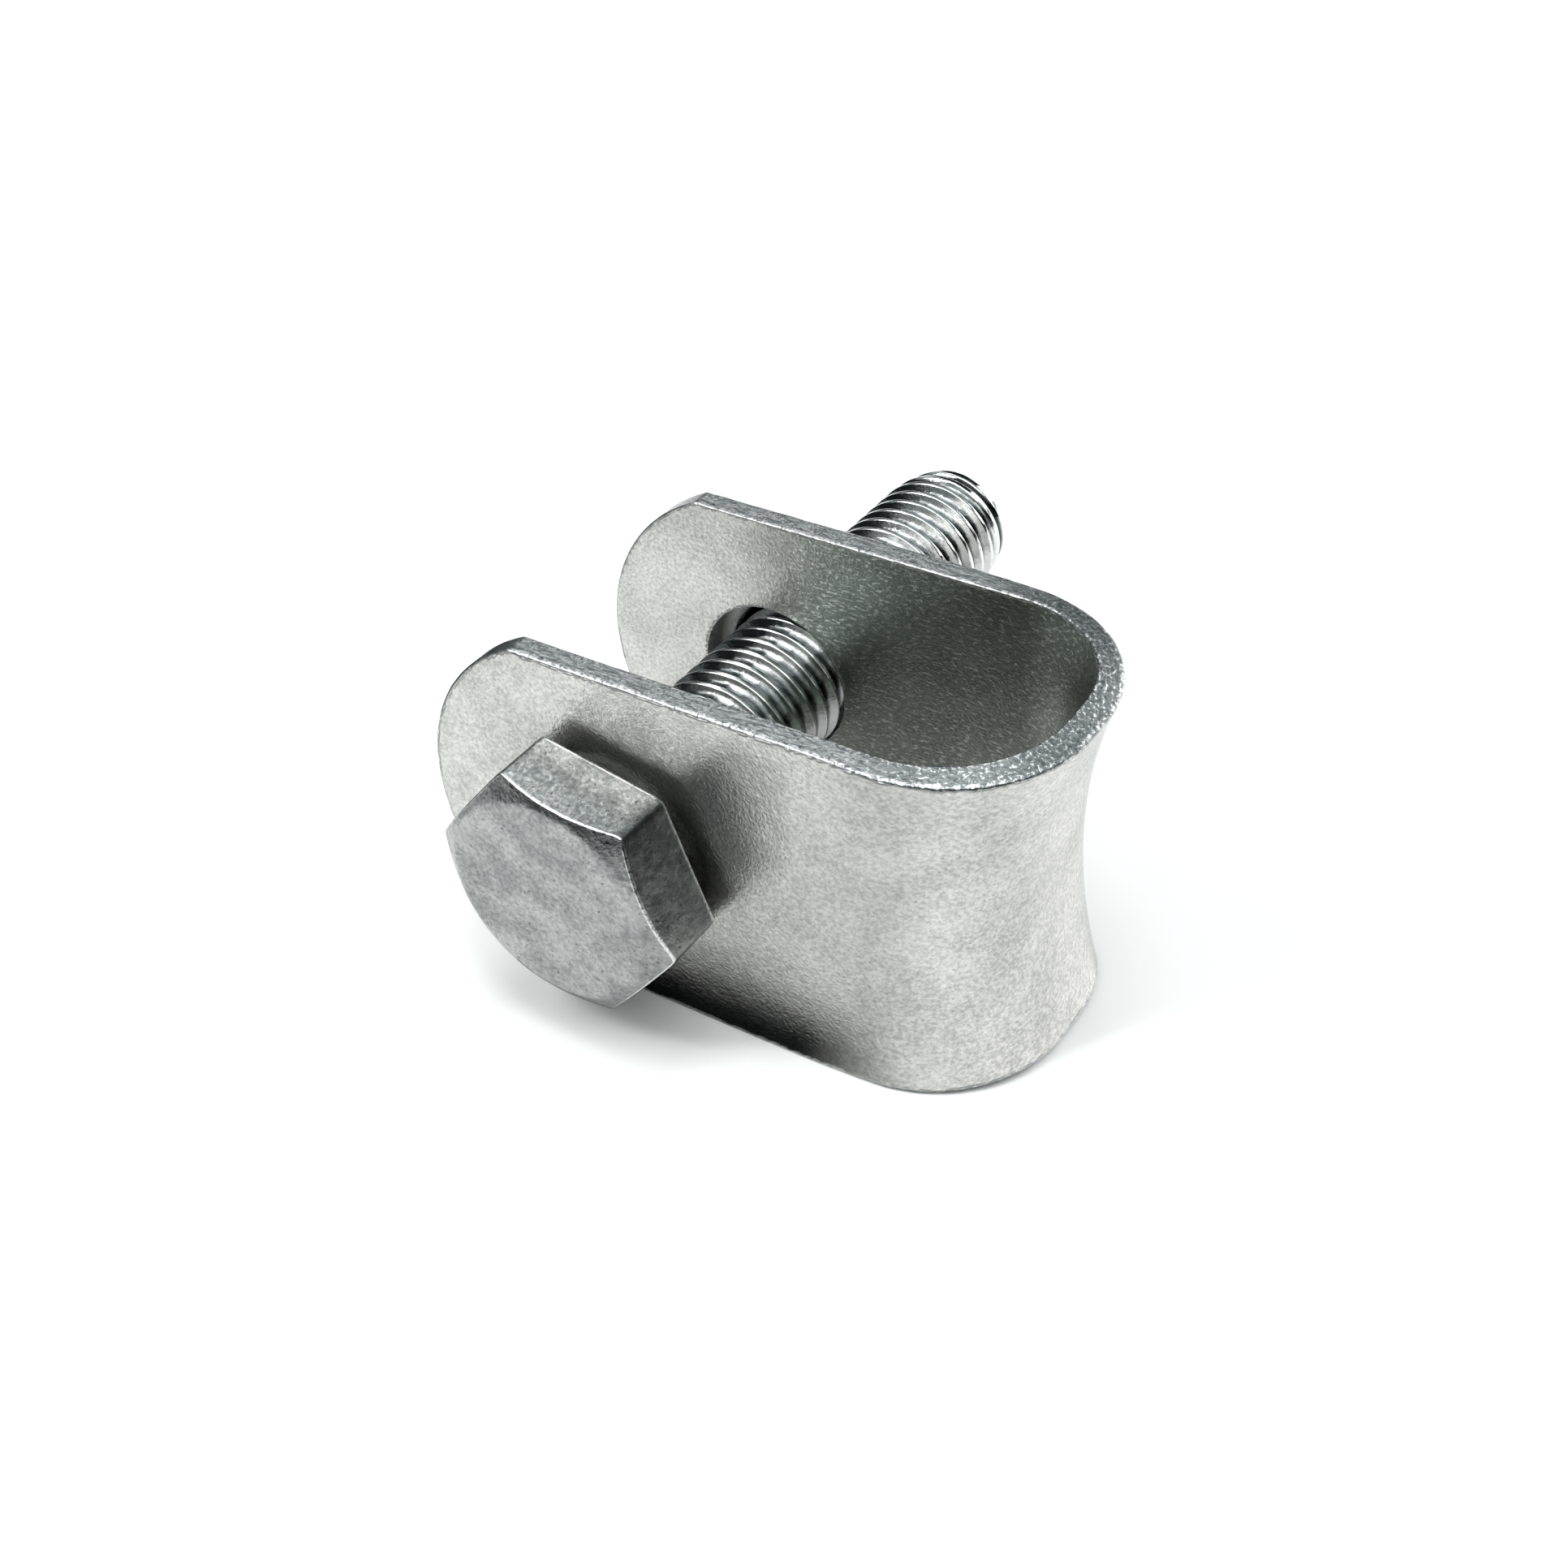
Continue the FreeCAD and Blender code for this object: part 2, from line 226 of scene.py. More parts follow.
def ripple(places, pitch, seed):
    """Smooth noise between 0 and 1 at each place, for bumps about as wide as the pitch."""
    values = [noise.noise(Vector(place) / pitch + RIPPLE_SHIFT * seed)
              for place in places.reshape(-1, 3)]
    return np.clip(0.5 + 0.5 * np.array(values), 0.0, 1.0).reshape(places.shape[:-1])


def around_axis(radius, angles, along):
    """Places from cylindrical coordinates."""
    radius, angles, along = np.broadcast_arrays(radius, angles, along)
    return np.stack([radius * np.cos(angles), radius * np.sin(angles), along], -1)


def turned_profile(angles, corners, radii):
    """Grid turned about Z from the corners of a profile, each a radius and a height, whose
    inner corners are rounded, and the wear, which is full on a rounded corner."""
    points = [np.stack(np.broadcast_arrays(*corner, angles)[:2], -1) for corner in corners]
    rows = [points[0]]
    wear = [0.0]
    for last, corner, following, radius in zip(points, points[1:], points[2:], radii):
        before, after = [side * radius / np.linalg.norm(side, axis=-1, keepdims=True)
                         for side in (last - corner, following - corner)]
        rows.append(corner + before * SUPPORT)
        for share in np.linspace(0.0, 1.0, ROUND_STEPS + 1):
            rows.append(corner + before * (1.0 - share) ** 2 + after * share ** 2)
        rows.append(corner + after * SUPPORT)
        wear += [0.0] + [1.0] * (ROUND_STEPS + 1) + [0.0]
    outline = np.array([*rows, points[-1]])
    return around_axis(outline[..., 0], angles, outline[..., 1]), np.array([*wear, 0.0])[:, None]


def put(name, data):
    """Object of the scene with the given mesh, light or camera."""
    made = bpy.data.objects.new(name, data)
    bpy.context.scene.collection.objects.link(made)
    return made


class Shell:
    """Collects grids of vertices into one welded mesh."""

    def __init__(self):
        self.vertices = []
        self.faces = []
        self.slots = []
        self.wear = []
        self.blank = []
        self.count = 0

    def grid(self, places, slot=0, wear=0.0, blank=None, closed=False):
        """Add a grid of places with the shape (rows, columns, 3). Wear is 1 on a worn arris and
        below 0 where nothing rubs, lowest where shade is painted. Blank is each place on the flat
        metal, from which the finish takes its grain."""
        rows, columns = places.shape[:2]
        index = np.arange(rows * columns).reshape(rows, columns) + self.count
        if closed:
            index = np.concatenate([index, index[:, :1]], axis=1)
        faces = np.stack([index[:-1, :-1], index[:-1, 1:], index[1:, 1:], index[1:, :-1]], -1)
        self.vertices.append(places.reshape(-1, 3))
        self.faces.append(faces.reshape(-1, 4))
        self.slots.append(np.full(faces.size // 4, slot, np.int32))
        self.wear.append(np.broadcast_to(wear, (rows, columns)).reshape(-1))
        self.blank.append((places if blank is None else blank).reshape(-1, 3))
        self.count += rows * columns

    def make(self, name, materials, place=Matrix()):
        """Object laid at a place, whose coincident vertices are welded and whose faces look
        outwards."""
        places = np.concatenate(self.vertices) @ np.array(place.to_3x3()).T + np.array(place.translation)
        mesh = bpy.data.meshes.new(name)
        mesh.from_pydata(places.tolist(), [], np.concatenate(self.faces).tolist())
        mesh.polygons.foreach_set("material_index", np.concatenate(self.slots))
        for attribute, kind, field, values in (("wear", "FLOAT", "value", self.wear),
                                               ("blank", "FLOAT_VECTOR", "vector", self.blank)):
            data = mesh.attributes.new(attribute, kind, "POINT").data
            data.foreach_set(field, np.concatenate(values).astype(np.float32).reshape(-1))
        editable = bmesh.new()
        editable.from_mesh(mesh)
        bmesh.ops.remove_doubles(editable, verts=editable.verts, dist=WELD_GAP)
        bmesh.ops.recalc_face_normals(editable, faces=editable.faces)
        editable.to_mesh(mesh)
        editable.free()
        for material in materials:
            mesh.materials.append(material)
        mesh.shade_smooth()
        return put(name, mesh)


# Strap

FACE_SLOT = 0
EDGE_SLOT = 1
FRONT = -1.0
BACK = 1.0
SADDLE_STATIONS = 150
FACE_COLUMNS = 52
FACE_RINGS = 9
FACE_MARGIN = 0.16 * MM
WALL_STEPS = 6
FLAT_SHARE = 1e-4


class Sheet:
    """The bent strip as a map from the flat blank: travel along the strip, measured from
    the crown and positive on the back leg, height, and depth from the inner face."""

    def __init__(self, sizes):
        self.sizes = sizes
        self.half_height = sizes.height / 2.0
        self.spread = sizes.leg_gap / 2.0 - sizes.corner_radius
        crown_reach = sizes.crown_radius - sizes.corner_radius
        self.crown_turn = math.asin(self.spread / crown_reach)
        self.crown_centre = sizes.bend_start - crown_reach * math.cos(self.crown_turn)
        self.corner_length = sizes.corner_radius * (math.pi / 2.0 - self.crown_turn)
        self.bend_length = self.corner_length + sizes.crown_radius * self.crown_turn
        self.joint_travel = self.bend_length + sizes.hollow_lead + sizes.flat_lead
        self.joint_x = sizes.bend_start - sizes.hollow_lead - sizes.flat_lead

    def rim(self, travel):
        """Inner rim in plan: its x, y and outward direction."""
        sizes = self.sizes
        from_bend = self.bend_length - np.abs(travel)
        past_corner = from_bend > self.corner_length
        corner_angle = np.maximum(from_bend, 0.0) / sizes.corner_radius - math.pi / 2.0
        crown_angle = (from_bend - self.corner_length) / sizes.crown_radius - self.crown_turn
        angle = np.where(past_corner, crown_angle, corner_angle)
        radius = np.where(past_corner, sizes.crown_radius, sizes.corner_radius)
        centre_x = np.where(past_corner, self.crown_centre, sizes.bend_start)
        centre_y = np.where(past_corner, 0.0, -self.spread)
        x = centre_x + radius * np.cos(angle) + np.minimum(from_bend, 0.0)
        y = centre_y + radius * np.sin(angle)
        side = np.where(travel < 0.0, 1.0, -1.0)
        return x, side * y, np.cos(angle), side * np.sin(angle)

    def section_circle(self, share):
        """Centre and radius of the inner face of a section, from its lower rim, its waist
        and its upper rim, and how far the lower rim is tucked in."""
        half = self.half_height
        low = -self.sizes.lower_rim_tuck * share
        waist = -self.sizes.waist_depth * share
        low_square = low ** 2 + half ** 2
        high_square = half ** 2
        divisor = 2.0 * half * (2.0 * waist - low)
        centre_out = half * (2.0 * waist ** 2 - low_square - high_square) / divisor
        centre_up = (waist ** 2 * low - low_square * waist + high_square * (waist - low)) / divisor
        return centre_out, centre_up, np.hypot(centre_out, half - centre_up), low

    def place(self, travel, height, depth):
        """Point of the strip in space."""
        travel, height, depth = np.broadcast_arrays(travel, height, depth)
        x, y, out_x, out_y = self.rim(travel)
        from_bend = self.bend_length - np.abs(travel)
        share = ramp_up((from_bend + self.sizes.hollow_lead) / self.sizes.hollow_run)
        half = self.half_height
        centre_out, centre_up, radius, low = self.section_circle(np.maximum(share, FLAT_SHARE))
        high_angle = np.arctan2(half - centre_up, centre_out)
        low_angle = np.arctan2(-half - centre_up, centre_out - low)
        angle = low_angle + (high_angle - low_angle) * (height + half) / (2.0 * half)
        flat = share <= FLAT_SHARE
        outward = np.where(flat, depth, centre_out - (radius - depth) * np.cos(angle))
        up = np.where(flat, height, centre_up + (radius - depth) * np.sin(angle))
        return np.stack([x + out_x * outward, y + out_y * outward, up], -1)

    def arris_radii(self, travel, height):
        """Rounding of the inner and the outer arris of the edge there, which varies by a
        third along the cut."""
        places = self.place(travel, height, 0.0)
        return [arris * (0.65 + 0.7 * ripple(places, pitch, seed)) for arris, pitch, seed in (
            (self.sizes.burred_arris, 0.9 * MM, 2), (self.sizes.rolled_arris, 1.3 * MM, 1))]

    def edge_rows(self, burred, rolled):
        """Rows over the edge from the inner to the outer face: how far each stands back from
        the outline, its depth and its wear."""
        turns = np.linspace(0.0, math.pi / 2.0, ROUND_STEPS + 1)[:, None]
        wall = np.linspace(0.0, 1.0, WALL_STEPS + 1)[1:-1, None]
        thickness = self.sizes.thickness
        back = [burred * (1.0 - np.sin(turns)), 0.0 * wall * burred,
                rolled * (1.0 - np.sin(turns[::-1]))]
        depth = [burred * (1.0 - np.cos(turns)), burred + (thickness - burred - rolled) * wall,
                 thickness - rolled * (1.0 - np.cos(turns[::-1]))]
        wear = [turns ** 0.0, wall * 0.0, turns ** 0.0]
        return np.concatenate(back), np.concatenate(depth), np.concatenate(wear)


def face_columns(low, high):
    """Heights over a face between two rims, with one more a margin in from each rim."""
    low, high = np.asarray(low)[..., None], np.asarray(high)[..., None]
    inner = low + FACE_MARGIN + (high - low - 2.0 * FACE_MARGIN) * crowded(FACE_COLUMNS)
    return np.concatenate([low, inner, high], axis=-1)


def upright(place, heights):
    """Line of points at one place and the given heights."""
    return np.stack(np.broadcast_arrays(place, heights), -1)


def add_face(shell, sheet, flat, depth, closed=False):
    """Inner or outer face of the sheet over a grid of points on the flat blank."""
    blank = np.concatenate([flat, np.full(flat.shape[:2] + (1,), depth)], -1)
    shell.grid(sheet.place(flat[..., 0], flat[..., 1], depth), FACE_SLOT, 0.0, blank, closed)


def add_edge(shell, sheet, line, away, run, closed=False):
    """Cut edge of the sheet over a line on the flat blank, with the directions out of the
    metal and the distance run. The result is where it meets the inner and the outer face."""
    back, depth, wear = sheet.edge_rows(*sheet.arris_radii(line[:, 0], line[:, 1]))
    flat = line - away * back[..., None]
    blank = np.stack(np.broadcast_arrays(run, depth, 0.0), -1)
    shell.grid(sheet.place(flat[..., 0], flat[..., 1], depth), EDGE_SLOT, wear, blank, closed)
    return flat[0], flat[-1]


def add_saddle(shell, sheet):
    """Bend of the strap with the flat strip on both sides, up to where the legs begin."""
    travel = np.linspace(-sheet.joint_travel, sheet.joint_travel, SADDLE_STATIONS)
    half = sheet.half_height
    arrises = sheet.arris_radii(travel, -half), sheet.arris_radii(travel, half)
    for depth, foot, top in zip((0.0, sheet.sizes.thickness), *arrises):
        add_face(shell, sheet, upright(travel[:, None], face_columns(foot - half, half - top)), depth)
    for side in (1.0, -1.0):
        add_edge(shell, sheet, upright(travel, side * half), np.array([0.0, side]), travel)


def leg_outline(sheet, line_count=60, end_count=110):
    """Outline of a leg from the upper to the lower end of the line where it meets the
    bend: points, outward directions and the distance run from there."""
    sizes = sheet.sizes
    half = sheet.half_height
    rise = sizes.end_reach - sizes.corner_reach
    radius = (half ** 2 + rise ** 2) / (2.0 * rise)
    centre = radius - sizes.end_reach
    corner_angle = math.atan2(half, -sizes.corner_reach - centre)
    angles = np.linspace(corner_angle, 2.0 * math.pi - corner_angle, end_count)
    upper = upright(np.linspace(sheet.joint_x, -sizes.corner_reach, line_count), half)
    up = upright(np.zeros(line_count), 1.0)
    arc_out = upright(np.cos(angles), np.sin(angles))
    arc = np.array([centre, 0.0]) + radius * arc_out
    points = np.concatenate([upper, arc[1:-1], upper[::-1] * (1.0, -1.0)])
    outward = np.concatenate([up, arc_out[1:-1], -up])
    for corner, straight, curved in ((line_count - 1, up[0], arc_out[0]),
                                     (line_count + end_count - 2, -up[0], arc_out[-1])):
        outward[corner] = (straight + curved) / (1.0 + straight @ curved)
    run = np.concatenate([[0.0], np.cumsum(np.linalg.norm(np.diff(points, axis=0), axis=1))])
    return points, outward, np.minimum(run, run[-1] - run)


def add_leg(shell, sheet, side):
    """Front or back leg of the strap, drawn in plan and moved to its place on the blank."""
    half = sheet.half_height
    hole_radius = sheet.sizes.hole_diameter / 2.0
    outline, outward, run = leg_outline(sheet)
    mirror = np.array([-side, 1.0])
    shift = np.array([side * (sheet.joint_travel + sheet.joint_x), 0.0])
    rims = add_edge(shell, sheet, outline * mirror + shift, outward * mirror,
                    side * (sheet.joint_travel + run))
    around = np.concatenate([upright(sheet.joint_x, face_columns(-half, half))[1:-1], outline])
    angles = np.arctan2(around[:, 1], around[:, 0])
    from_hole = upright(np.cos(angles), np.sin(angles))
    bores = add_edge(shell, sheet, from_hole * hole_radius * mirror + shift, -from_hole * mirror,
                     hole_radius * angles, True)
    for depth, rim, bore in zip((0.0, sheet.sizes.thickness), rims, bores):
        line = upright(side * sheet.joint_travel, face_columns(rim[-1, 1], rim[0, 1]))
        edge = np.concatenate([line[1:-1], rim])
        margin = FACE_MARGIN / np.linalg.norm(bore - edge, axis=1)
        shares = (0.0, margin, *crowded(FACE_RINGS)[1:-1], 1.0 - margin, 1.0)
        rings = [edge + (bore - edge) * np.reshape(share, (-1, 1)) for share in shares]
        add_face(shell, sheet, np.array(rings), depth, True)


# Bolt and nut, drawn along their own Z and then laid on the axis of the bolt

HEAD_SLOT = 0
THREAD_SLOT = 1
# Wear where nothing rubs: matt metal, and painted shade where the head and the nut meet the strap
MATT = -0.5
PAINTED_SHADE = -1.0
COLUMNS_PER_FLAT = 20
HEXAGON_SHARPNESS = 60.0
# Half the root of the thread over its pitch, and where the wall has rows within a turn
ROOT_SHARE = 0.07
PHASES = (0.0, 0.045, 0.085, 0.115, 0.20, 0.29, 0.375, 0.42, 0.46,
          0.50, 0.54, 0.58, 0.625, 0.71, 0.80, 0.885, 0.915, 0.955)
TIP_ARRIS = 0.25 * MM
TIP_RINGS = (1.0, 0.97, 0.85, 0.6, 0.3, 1e-3)
HUB_SHARE = 0.2
ONTO_AXIS = (0.0, 0.0, 1.0)
FACE_RADIUS = 0.35 * MM
CHAMFER_RADIUS = 0.14 * MM
BACK_RADIUS = 0.30 * MM
SEAT_RADII = (0.10 * MM, 0.14 * MM)
# Rows of the head up to the rim of its face, from its back to its seat, and of the seat
FACE_ROWS = slice(1 + CORNER_ROWS)
UNDER_ROWS = slice(3 * CORNER_ROWS - 1, 3 * CORNER_ROWS + 2)
SEAT_ROWS = slice(3 * CORNER_ROWS + 2, None)


def bolt_place(along):
    """Matrix from a frame whose Z is the axis of the bolt to the frame of the part."""
    turned = Vector((0.0, 0.0, 1.0)).rotation_difference(BOLT_AXIS).to_matrix().to_4x4()
    return Matrix.Translation(BOLT_MIDDLE + BOLT_AXIS * along) @ turned


def hexagon_angles(turned):
    """Angles of the columns, closer together towards the corners of the hexagon."""
    side = crowded(COLUMNS_PER_FLAT + 1, math.pi / 3.0, 1.0)[:-1]
    return np.concatenate([turned + corner * math.pi / 3.0 + side for corner in range(6)])


def chamfered_hexagon(angles, flats, turned, face_diameter, chamfer):
    """Radius of a hexagon with slightly rounded corners, radius of its flat face, and how
    far the chamfer drops from that face."""
    normals = turned + math.pi / 6.0 + np.arange(6) * math.pi / 3.0
    facing = np.maximum(np.cos(angles[:, None] - normals), 0.0)
    rounding = np.sum(facing ** HEXAGON_SHARPNESS, axis=1) ** (1.0 / HEXAGON_SHARPNESS)
    hexagon = flats / 2.0 / rounding
    face = face_diameter / 2.0
    return hexagon, face, (hexagon - face) * math.tan(chamfer)


def thread_depth_at(phase, sizes):
    """Depth below the crest at a phase of the thread, which is 0 in the middle of a crest
    and 0.5 in the middle of a root."""
    from_crest = np.abs((phase + 0.5) % 1.0 - 0.5)
    crest = sizes.crest_width / sizes.pitch / 2.0
    flank = (from_crest - crest) / (0.5 - crest - ROOT_SHARE)
    depth = sizes.thread_depth * np.clip(flank, 0.0, 1.0)
    return soft_min(depth, sizes.thread_depth * 0.97, sizes.thread_depth * 0.12)


def threaded_wall(angles, high, sizes, radius_at):
    """Grid of a threaded wall from 0 to high, whose rows follow the helix, with 1 on its
    crests and 0 in its roots. It has one column more than the angles, on which it closes."""
    full = np.append(angles, angles[0] + 2.0 * math.pi)
    turns = np.arange(-2, math.ceil(high / sizes.pitch) + 2)
    rows = (turns[:, None] + np.array(PHASES)).reshape(-1) * sizes.pitch
    along = np.clip(rows[:, None] + full * sizes.pitch / (2.0 * math.pi), 0.0, high)
    phase = along / sizes.pitch - full / (2.0 * math.pi)
    crest = 1.0 - thread_depth_at(phase, sizes) / sizes.thread_depth
    return around_axis(radius_at(along, phase), full, along), crest


def bolt_radius(along, phase, sizes, total):
    """Radius of the threaded shank: it starts plain under the head and tapers at the tip."""
    cut = ramp_up((along - sizes.plain_length * 0.3) / sizes.plain_length)
    radius = sizes.thread_diameter / 2.0 - thread_depth_at(phase, sizes) * cut
    tip = sizes.tip_diameter / 2.0
    slope = (sizes.thread_diameter - sizes.tip_diameter) / 2.0 / sizes.tip_taper
    from_tip = total - along
    taper = tip + from_tip * slope
    arris = tip - TIP_ARRIS + np.sqrt(TIP_ARRIS ** 2 - np.maximum(TIP_ARRIS - from_tip, 0.0) ** 2)
    return np.minimum(radius, np.where(from_tip < TIP_ARRIS, arris, taper))


def add_thread(shell, angles, sizes, total):
    """Threaded shank from under the head to the flat tip. The result is its first ring."""
    wall, crest = threaded_wall(angles, total, sizes,
                                lambda along, phase: bolt_radius(along, phase, sizes, total))
    shell.grid(wall, THREAD_SLOT, crest)
    rings = wall[-1, :-1] * np.array(TIP_RINGS)[:, None, None]
    rings[..., 2] = total
    shell.grid(rings, HEAD_SLOT, closed=True)
    shell.grid(np.stack([rings[-1], rings[-1] * ONTO_AXIS]), HEAD_SLOT, closed=True)
    return wall[0, :-1]


def add_head(shell, angles, sizes, shank_ring):
    """Hexagon head with its chamfered face and the round seat under it."""
    top = -(sizes.seat_height + sizes.head_height)
    seat = sizes.seat_diameter / 2.0
    hexagon, face, drop = chamfered_hexagon(angles, sizes.head_flats, sizes.head_turn,
                                            sizes.face_diameter, sizes.chamfer)
    shank = np.hypot(shank_ring[:, 0], shank_ring[:, 1])
    corners = ((HUB_SHARE * face, top), (face, top), (hexagon, top + drop),
               (hexagon, -sizes.seat_height), (seat, -sizes.seat_height), (seat, 0.0), (shank, 0.0))
    radii = (FACE_RADIUS, CHAMFER_RADIUS, BACK_RADIUS, *SEAT_RADII)
    places, wear = turned_profile(angles, corners, radii)
    wear[FACE_ROWS] = 0.0
    wear[UNDER_ROWS] = MATT
    # Painted shade on the seat, where the head meets the strap
    wear[SEAT_ROWS] = PAINTED_SHADE
    shell.grid(places, HEAD_SLOT, wear, closed=True)
    shell.grid(np.stack([places[0] * ONTO_AXIS, places[0]]), HEAD_SLOT, closed=True)


def add_nut(shell, sizes, thread, from_seat):
    """Hexagon nut, chamfered on both faces, with a thread that runs in that of the bolt.
    From seat is how far the nut stands from the seat under the head."""
    angles = hexagon_angles(sizes.turned)
    height = NUT_REACH[1] - NUT_REACH[0]
    hexagon, face, drop = chamfered_hexagon(angles, sizes.flats, sizes.turned,
                                            sizes.face_diameter, thread.chamfer)
    mouth = sizes.mouth_diameter / 2.0

    def bore(along, phase):
        depth = thread_depth_at(phase + from_seat / thread.pitch, thread)
        wall = thread.thread_diameter / 2.0 + sizes.clearance - depth
        return np.maximum(wall, mouth - np.minimum(along, height - along))

    wall, crest = threaded_wall(angles, height, thread, bore)
    shell.grid(wall, THREAD_SLOT, crest)
    corners = ((mouth, 0.0), (face, 0.0), (hexagon, drop), (hexagon, height - drop),
               (face, height), (mouth, height))
    radii = (BACK_RADIUS, CHAMFER_RADIUS, CHAMFER_RADIUS, BACK_RADIUS)
    places, wear = turned_profile(angles, corners, radii)
    # Painted shade on the face of the nut that meets the strap
    wear[:2] = PAINTED_SHADE
    shell.grid(places, HEAD_SLOT, wear, closed=True)


# Finishes

ARRIS_ROUGHNESS = (0.14, 0.14, 0.14)
MATT_ROUGHNESS = (0.6, 0.6, 0.6)
WORN_SPAN = (0.1, 0.9)
# Where the darker edge with painted glints and the painted shade inside the bend start and
# where they are full, in millimetres: travel along the edge, travel along the inner face, and depth in
# the sheet
BENT_SPAN = (20.0, 13.0)
INSIDE_SHADE_SPAN = (45.0, 33.0)
INSIDE_SHADE_DEPTH = (1.2, 0.8)


class Recipe:
    """Builds the nodes of one material, or of the world."""

    def __init__(self, owner, shader="Principled BSDF"):
        self.owner = owner
        self.owner.use_nodes = True
        self.tree = self.owner.node_tree
        self.shader = self.tree.nodes[shader]

    def plug(self, socket, value):
        """Link a socket, or set it."""
        if isinstance(value, bpy.types.NodeSocket):
            self.tree.links.new(value, socket)
        else:
            socket.default_value = (*value, 1.0) if socket.type == "RGBA" else value

    def node(self, kind, settings=(), **inputs):
        """New node with its settings, and with its inputs linked or set by name."""
        made = self.tree.nodes.new(kind)
        for name, value in dict(settings).items():
            setattr(made, name, value)
        for name, value in inputs.items():
            self.plug(made.inputs[name.replace("_", " ")], value)
        return made

    def surface(self, **inputs):
        """The material or world, with inputs of its shader linked or set by name."""
        for name, value in inputs.items():
            self.plug(self.shader.inputs[name.replace("_", " ")], value)
        return self.owner

    def millimetres(self, stretch=(1.0, 1.0, 1.0)):
        """Place on the flat metal in millimetres, stretched for grain that runs one way."""
        flat = self.node("ShaderNodeAttribute", {"attribute_name": "blank"})
        mapping = self.node("ShaderNodeMapping", Vector=flat.outputs["Vector"],
                            Scale=[1.0 / MM * value for value in stretch])
        return mapping.outputs["Vector"]

    def metres(self):
        """Place in the studio in metres."""
        return self.node("ShaderNodeTexCoord").outputs["Object"]

    def parts(self, vector):
        """X, Y and Z of a place."""
        return self.node("ShaderNodeSeparateXYZ", Vector=vector).outputs

    def grain(self, where, scale, detail=3.0, roughness=0.6, distortion=0.0):
        """Noise between 0 and 1 with the given number of bumps a millimetre or metre."""
        made = self.node("ShaderNodeTexNoise", Vector=where, Scale=scale, Detail=detail,
                         Roughness=roughness, Distortion=distortion)
        return made.outputs["Fac"]

    def spread(self, value, low, high, to_low=0.0, to_high=1.0):
        """Value moved from one span to another, with soft ends."""
        made = self.node("ShaderNodeMapRange", {"interpolation_type": "SMOOTHSTEP"}, Value=value,
                         From_Min=low, From_Max=high, To_Min=to_low, To_Max=to_high)
        return made.outputs["Result"]

    def combine(self, kind, *values):
        """Result of a plain sum, product or the like."""
        made = self.node("ShaderNodeMath", {"operation": kind})
        for socket, value in zip(made.inputs, values):
            self.plug(socket, value)
        return made.outputs[0]

    def over(self, under, top, *shares, kind="MIX"):
        """One colour or grey over another, by the product of the given shares."""
        share = shares[0]
        for factor in shares[1:]:
            share = self.combine("MULTIPLY", share, factor)
        made = self.node("ShaderNodeMix", {"data_type": "RGBA", "blend_type": kind})
        for index, value in ((0, share), (6, under), (7, top)):
            self.plug(made.inputs[index], value)
        return made.outputs[2]

    def bumps(self, *layers):
        """Stack of bumps, each given by its height and its depth in millimetres."""
        normal = None
        for height, depth in layers:
            made = self.node("ShaderNodeBump", Height=height, Distance=depth * MM)
            if normal is not None:
                self.plug(made.inputs["Normal"], normal)
            normal = made.outputs["Normal"]
        return normal

    def wear(self):
        """Wear that the mesh keeps for each place."""
        return self.node("ShaderNodeAttribute", {"attribute_name": "wear"}).outputs["Fac"]

    def mottled(self, where, cloud_scale, mottle_scale, share):
        """Soft clouds with a finer mottle that has the given share, and that mottle."""
        clouds = self.spread(self.grain(where, cloud_scale, 5.0, 0.62), 0.35, 0.65)
        mottle = self.spread(self.grain(where, mottle_scale, 5.0, 0.7), 0.32, 0.68)
        rest = self.combine("MULTIPLY", clouds, 1.0 - share)
        return self.combine("MULTIPLY_ADD", mottle, share, rest), mottle

    def metal(self, colour, roughness, *layers):
        """Metal with that colour and roughness and layers of bumps."""
        return self.surface(Metallic=1.0, Base_Color=colour, Roughness=roughness,
                            Normal=self.bumps(*layers))


def plated_sheet(recipe, paints):
    """Zinc plate on the rolled faces of the strap: fine mottled grain with soft clouds, and
    painted shade with pale flecks inside the bend."""
    where = recipe.millimetres()
    blank = recipe.parts(where)
    near_bend = recipe.spread(recipe.combine("ABSOLUTE", blank["X"]), *INSIDE_SHADE_SPAN)
    inside = recipe.combine("MULTIPLY", near_bend, recipe.spread(blank["Z"], *INSIDE_SHADE_DEPTH))
    shade, mottle = recipe.mottled(where, 0.2, 3.0, share=0.66)
    fine = recipe.grain(where, 5.5, detail=4.0, roughness=0.7)
    peel = recipe.grain(where, 3.4, distortion=0.4)
    roll = recipe.grain(where, 0.4, detail=2.0, roughness=0.5)
    specks = recipe.grain(where, 4.2, detail=5.0, roughness=0.75, distortion=0.3)
    flecks = recipe.grain(recipe.millimetres((0.6, 1.5, 1.0)), 2.8)
    colour = recipe.over(paints.sheet_dull, paints.sheet, shade)
    colour = recipe.over(colour, paints.soot_and_painted_shade, recipe.spread(specks, 0.56, 0.70, 0.0, 0.5))
    # Painted shade inside the bend, on the inner face near the crown
    colour = recipe.over(colour, paints.painted_shade_in_bend, inside, kind="MULTIPLY")
    colour = recipe.over(colour, paints.rubbed_and_painted_glint, inside, recipe.spread(flecks, 0.54, 0.62), 0.65)
    rough = recipe.spread(mottle, 0.0, 1.0, 0.27, 0.17)
    return recipe.metal(colour, rough, (roll, 0.05), (peel, 0.045), (fine, 0.018))


